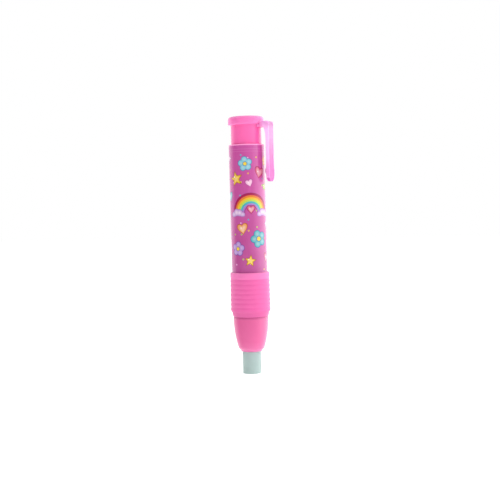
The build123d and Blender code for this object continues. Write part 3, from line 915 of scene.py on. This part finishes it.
def clipPlate(c, foot, top, outer):
    # A rounded plate, seen from +X, that gives the blade its round end
    bm = bmesh.new()
    bmesh.ops.create_cube(bm, size=1)
    bmesh.ops.scale(bm, vec=(4 * outer * mm, c["width"] * mm, 2 * (top - foot) * mm), verts=bm.verts)
    bmesh.ops.translate(bm, vec=(0, 0, top * mm), verts=bm.verts)
    ends = [e for e in bm.edges if all(v.co.z < top * mm for v in e.verts)
            and abs(e.verts[0].co.x - e.verts[1].co.x) > mm]
    bmesh.ops.bevel(bm, geom=ends, offset=c["endRound"] * mm, offset_type="OFFSET", segments=16, profile=0.5,
                    affect="EDGES", material=-1)
    return meshObject("plate", bm)


def roundBar(radius, low, high):
    bm = bmesh.new()
    bmesh.ops.create_cone(bm, cap_ends=True, segments=roundSteps, radius1=radius * mm, radius2=radius * mm,
                          depth=(high - low) * mm)
    bmesh.ops.translate(bm, vec=(0, 0, (low + high) / 2 * mm), verts=bm.verts)
    return bm


def clipBump(c, foot, inner, filmRadius):
    # Part of a disc inside the foot, which holds cloth
    depth, half = inner - c["lean"] / 2 - filmRadius - c["bumpGap"], c["bumpHeight"] / 2
    radius = (half ** 2 + depth ** 2) / (2 * depth)
    bm = roundBar(radius, -c["bumpWidth"] / 2, c["bumpWidth"] / 2)
    bmesh.ops.rotate(bm, cent=(0, 0, 0), matrix=Matrix.Rotation(math.pi / 2, 3, "X"), verts=bm.verts)
    rims = [e for e in bm.edges if e.is_manifold and e.calc_face_angle(0) > math.radians(60)]
    bmesh.ops.bevel(bm, geom=rims, offset=c["bumpRound"] * mm, offset_type="OFFSET", segments=3, profile=0.5,
                    affect="EDGES", material=-1)
    middle = (filmRadius + c["bumpGap"] + radius, 0, foot + c["bumpStart"] + half)
    bmesh.ops.translate(bm, vec=Vector(middle) * mm, verts=bm.verts)
    cutAt = (inner + c["thickness"] / 2) * mm  # the disc ends inside the blade
    bmesh.ops.bisect_plane(bm, geom=bm.verts[:] + bm.edges[:] + bm.faces[:], plane_co=(cutAt, 0, 0),
                           plane_no=(1, 0, 0), clear_outer=True)
    bmesh.ops.holes_fill(bm, edges=[e for e in bm.edges if e.is_boundary])
    bmesh.ops.recalc_face_normals(bm, faces=bm.faces)
    return meshObject("bump", bm)


def makeClip(c):
    buttonTop, flangeRadius = heights("push_button")[1:]
    flangeFoot = buttonTop - button["flange"]
    skirtRadius = flangeRadius - button["lip"]
    low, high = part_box("pocket_clip")
    foot, top = low.z / mm, high.z / mm
    inner = flangeRadius + c["reach"]
    piece = clipSide(c, foot, top, inner)
    combine(piece, clipPlate(c, foot, top, inner + c["thickness"]), "INTERSECT")
    skirtRoom = roundBar(skirtRadius + c["seat"], top - 2 * c["arm"], top + c["arm"])
    combine(piece, meshObject("skirtRoom", skirtRoom), "DIFFERENCE")
    flangeRoom = roundBar(flangeRadius + c["seat"], flangeFoot - c["seat"], top + c["arm"])
    combine(piece, meshObject("flangeRoom", flangeRoom), "DIFFERENCE")
    edges = piece.modifiers.new("edges", "BEVEL")
    edges.width = c["edgeRound"] * mm
    edges.segments = 3
    edges.limit_method = "ANGLE"
    edges.angle_limit = math.radians(c["edgeAngle"])
    applied(piece)
    combine(piece, clipBump(c, foot, inner, heights("barrel")[2]), "UNION")
    return finishPiece(piece, clipPolypropyleneWithPaintedLight, "pocket_clip", sharpAngle=30)


makeClip(clip)
print("outer pieces made")


# Spring: one length of round wire, close at both ends and open between

spring = {"wire": 0.3, "endTurns": 1, "endPitch": 0.9, "openTurns": 3, "stepsPerTurn": 48, "roundness": 3}


def makeSpring(s):
    low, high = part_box("return_spring")
    foot, top = low.z / mm + s["wire"], high.z / mm - s["wire"]
    meanRadius = high.y / mm - s["wire"]
    pitch = (top - foot - 2 * s["endTurns"] * s["endPitch"]) / s["openTurns"]
    curve = bpy.data.curves.new("springLine", "CURVE")
    curve.dimensions = "3D"
    line = curve.splines.new("POLY")
    count = (2 * s["endTurns"] + s["openTurns"]) * s["stepsPerTurn"]
    line.points.add(count)
    for i in range(count + 1):
        done = i / s["stepsPerTurn"]
        opened = min(max(done - s["endTurns"], 0), s["openTurns"])
        z = foot + pitch * opened + s["endPitch"] * (done - opened)
        a = done * turn
        line.points[i].co = (meanRadius * math.cos(a) * mm, meanRadius * math.sin(a) * mm, z * mm, 1)
    curve.bevel_depth = s["wire"] * mm
    curve.bevel_resolution = s["roundness"]
    curve.use_fill_caps = True
    holder = bpy.data.objects.new("springLine", curve)
    bpy.context.scene.collection.objects.link(holder)
    bpy.context.view_layer.update()
    mesh = bpy.data.meshes.new_from_object(holder.evaluated_get(bpy.context.evaluated_depsgraph_get()))
    bpy.data.objects.remove(holder)
    piece = bpy.data.objects.new("wireSpring", mesh)
    bpy.context.scene.collection.objects.link(piece)
    finishPiece(piece, drawnSpringWire, "return_spring")
    piece.modifiers.clear()
    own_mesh(piece)
    return piece


makeSpring(spring)


# Inner CAD pieces keep their shape and get their real finish

innerFinishes = {"chuck": naturalAcetal, "guide_bush": naturalAcetal, "push_tube": naturalPolypropylene,
                 "clutch_ring": turnedSteel}
for nodeName, material in innerFinishes.items():
    for materialSlot in frame["nodes"][nodeName].material_slots:
        materialSlot.material = material
print("inner pieces dressed")
